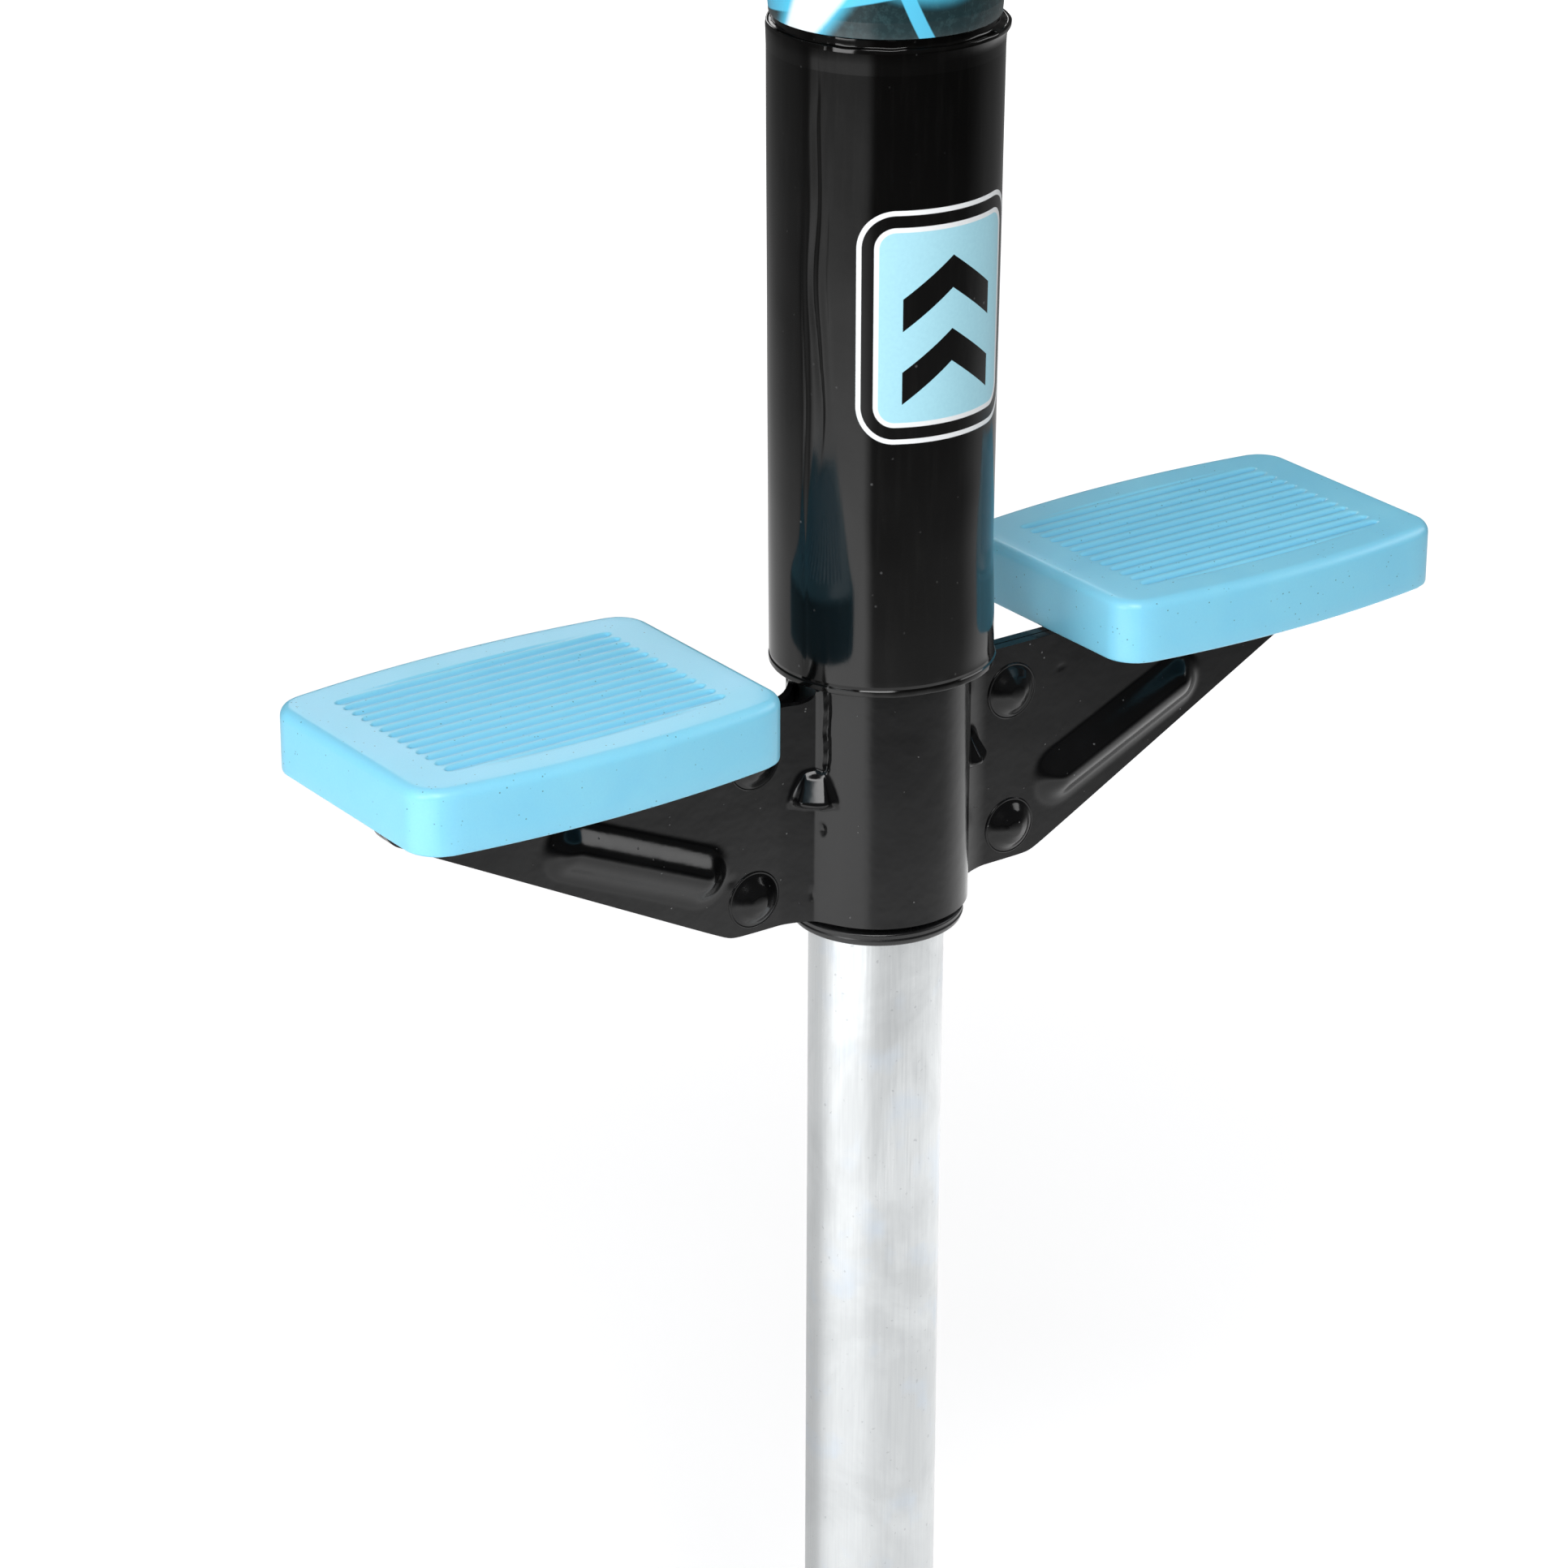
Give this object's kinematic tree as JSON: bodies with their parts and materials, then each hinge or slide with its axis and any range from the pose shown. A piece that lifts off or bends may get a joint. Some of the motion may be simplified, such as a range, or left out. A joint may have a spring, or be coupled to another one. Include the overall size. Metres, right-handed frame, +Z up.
{
  "type": "pogo stick",
  "caption": "Child's pogo stick: padded T-handled tube with two foot pedals on a pressed bracket, over a sprung steel shaft with a rubber tip.",
  "frame": {"origin": "centre of the rubber tip's flat sole, on the ground under the stick's axis", "axes": "+Z up along the stick, X along the pedals and the handlebar, Y from the front face to the rear face"},
  "size_m": [0.2526, 0.0576, 0.91],
  "materials": {
    "galvanised_steel": "satin",
    "spring_steel": "satin",
    "black_dip_paint": "gloss",
    "black_vinyl": "gloss",
    "printed_vinyl": "gloss",
    "sky_blue_plastic": "satin",
    "black_plastic": "satin",
    "white_nylon": "satin",
    "black_foam": "matte",
    "grey_foam": "matte",
    "black_rubber": "matte"
  },
  "bodies": {
    "frame": {"main_tube": "galvanised_steel", "top_cap": "black_plastic", "handlebar": "galvanised_steel", "grip_left": "black_foam", "grip_right": "black_foam", "end_plug_left": "black_plastic", "end_plug_right": "black_plastic", "upper_foam": "grey_foam", "printed_cover": "printed_vinyl", "lower_foam": "grey_foam", "lower_sleeve": "black_vinyl", "bracket_front": "black_dip_paint", "bracket_rear": "black_dip_paint", "rivet_left_lower": "black_dip_paint", "rivet_left_upper": "black_dip_paint", "rivet_right_lower": "black_dip_paint", "rivet_right_upper": "black_dip_paint", "pedal_left": "sky_blue_plastic", "pedal_right": "sky_blue_plastic", "pedal_screw_left_front": "galvanised_steel", "pedal_screw_left_rear": "galvanised_steel", "pedal_screw_right_front": "galvanised_steel", "pedal_screw_right_rear": "galvanised_steel", "lower_bush": "black_plastic", "rebound_bumper": "black_rubber", "stop_pin": "galvanised_steel", "upper_spring_seat": "galvanised_steel", "spring": "spring_steel"},
    "spring_seat": {"lower_spring_seat": "galvanised_steel"},
    "shaft": {"shaft": "galvanised_steel", "shaft_guide": "white_nylon", "guide_pin": "galvanised_steel", "rubber_tip": "black_rubber", "tip_washer": "galvanised_steel"}
  },
  "joints": [
    {"name": "shaft_slide", "type": "slide", "parent": "frame", "child": "spring_seat", "axis": [0, 0, 1], "range_m": [0, 0.09], "stiffness_N_per_m": 3600, "springref_m": -0.03, "deforming": ["spring"]},
    {"name": "shaft_spin", "type": "hinge", "parent": "spring_seat", "child": "shaft", "pos_m": [0, 0, 0.3], "axis": [0, 0, 1], "continuous": true}
  ]
}
